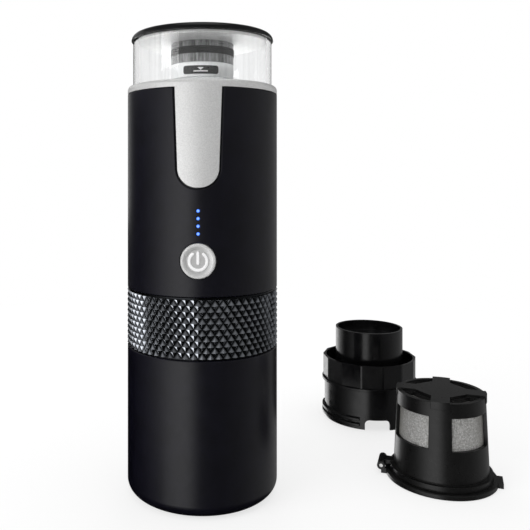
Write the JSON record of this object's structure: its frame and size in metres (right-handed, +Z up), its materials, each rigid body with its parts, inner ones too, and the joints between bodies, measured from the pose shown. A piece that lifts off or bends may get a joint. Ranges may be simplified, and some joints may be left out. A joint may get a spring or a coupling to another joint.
{
  "type": "portable capsule coffee maker",
  "caption": "Slim cylindrical battery coffee maker: clear tank on top, knurled grip, cup below, with a loose capsule holder and a hinged refillable filter beside it.",
  "frame": {"origin": "centre of the cup's base, on the surface that the machine stands on", "axes": "+Z up along the machine's axis, -Y towards the front with the button and the lights, +X to the right"},
  "size_m": [0.1828, 0.1652, 0.2177],
  "materials": {
    "black_satin": "fine satin black plastic",
    "black_gloss": "gloss black plastic",
    "black_knurl": "moulded black knurl",
    "black_filter": "black polypropylene",
    "dark_inner": "dark moulded plastic",
    "silver_paint": "silver painted plastic with fine metallic grain",
    "clear_tank": "clear polished plastic",
    "frosted_clear": "frosted clear plastic",
    "white_silicone": "white silicone",
    "grey_silicone": "grey silicone",
    "red_silicone": "red silicone",
    "black_rubber": "black rubber",
    "grey_plug": "smoky grey plastic",
    "steel": "turned steel",
    "steel_mesh": "fine woven steel mesh",
    "cast_alloy": "die-cast alloy",
    "cell_wrap": "shrink wrap",
    "circuit_board": "green solder mask",
    "light_blue": "lit blue light pipe"
  },
  "bodies": {
    "cup": {"cup_shell": "black_satin", "cup_liner": "dark_inner"},
    "machine": {"brew_dock": "dark_inner", "cup_seal": "red_silicone", "dock_gasket": "grey_silicone", "inlet_needle": "steel", "grip_ring": "black_knurl", "upper_shell": "black_satin", "silver_collar": "silver_paint", "water_tank": "clear_tank", "tank_strainer": "dark_inner", "pump_body": "cast_alloy", "pump_cover": "cast_alloy", "pump_screws": "steel", "mount_screws": "steel", "pump_motor": "steel", "suction_hose": "grey_silicone", "pressure_hose": "grey_silicone", "battery_tray": "dark_inner", "battery_cells": "cell_wrap", "control_board": "circuit_board", "power_switch": "dark_inner", "charge_lights": "light_blue", "light_guide": "light_blue", "charge_board": "circuit_board", "charge_socket": "steel"},
    "lid": {"lid_cap": "black_gloss", "lid_pad": "white_silicone", "lid_plug": "grey_plug", "plug_band": "black_rubber", "level_tube": "frosted_clear"},
    "button": {"power_button": "silver_paint"},
    "port_flap": {"port_cover": "black_rubber"},
    "pump_drive": {"drive_gear": "steel"},
    "pump_driven": {"driven_gear": "steel"},
    "holder": {"holder_barrel": "black_gloss"},
    "holder_top": {"holder_cap": "black_gloss", "exit_needle": "steel"},
    "filter_base": {"filter_lid": "black_filter", "filter_seal": "grey_silicone", "hinge_pin": "steel"},
    "filter_cup": {"filter_basket": "black_filter", "filter_mesh": "steel_mesh"}
  },
  "joints": [
    {"name": "machine_lift", "type": "slide", "parent": "cup", "child": "machine", "axis": [0, 0, 1], "range_m": [0, 0.08]},
    {"name": "lid_lift", "type": "slide", "parent": "machine", "child": "lid", "axis": [0, 0, 1], "range_m": [0, 0.04]},
    {"name": "button_press", "type": "slide", "parent": "machine", "child": "button", "axis": [0, 1, 0], "range_m": [0, 0.0012], "stiffness_N_per_m": 600},
    {"name": "port_cover_swing", "type": "hinge", "parent": "machine", "child": "port_flap", "pos_m": [0.0074, 0.0346, 0.1087], "axis": [0, 0, -1], "range_deg": [0, 100]},
    {"name": "pump_drive_spin", "type": "hinge", "parent": "machine", "child": "pump_drive", "pos_m": [0, 0.0045, 0.115], "axis": [0, 0, 1], "continuous": true},
    {"name": "pump_driven_spin", "type": "hinge", "parent": "machine", "child": "pump_driven", "pos_m": [0, -0.0045, 0.115], "axis": [0, 0, 1], "continuous": true},
    {"name": "holder_lift", "type": "slide", "parent": "cup", "child": "holder", "axis": [0, 0, 1], "range_m": [0, 0.06]},
    {"name": "holder_cap_turn", "type": "hinge", "parent": "holder", "child": "holder_top", "pos_m": [0.099, 0.1, 0.024], "axis": [0, 0, 1], "range_deg": [0, 30]},
    {"name": "filter_lift", "type": "slide", "parent": "cup", "child": "filter_base", "axis": [0, 0, 1], "range_m": [0, 0.06]},
    {"name": "filter_open", "type": "hinge", "parent": "filter_base", "child": "filter_cup", "pos_m": [0.09094, 0.02227, 0.0036], "axis": [-0.2924, -0.9563, 0], "range_deg": [0, 90]}
  ],
  "couplings": [
    {"joint": "pump_driven_spin", "follows": "pump_drive_spin", "ratio": -1}
  ]
}
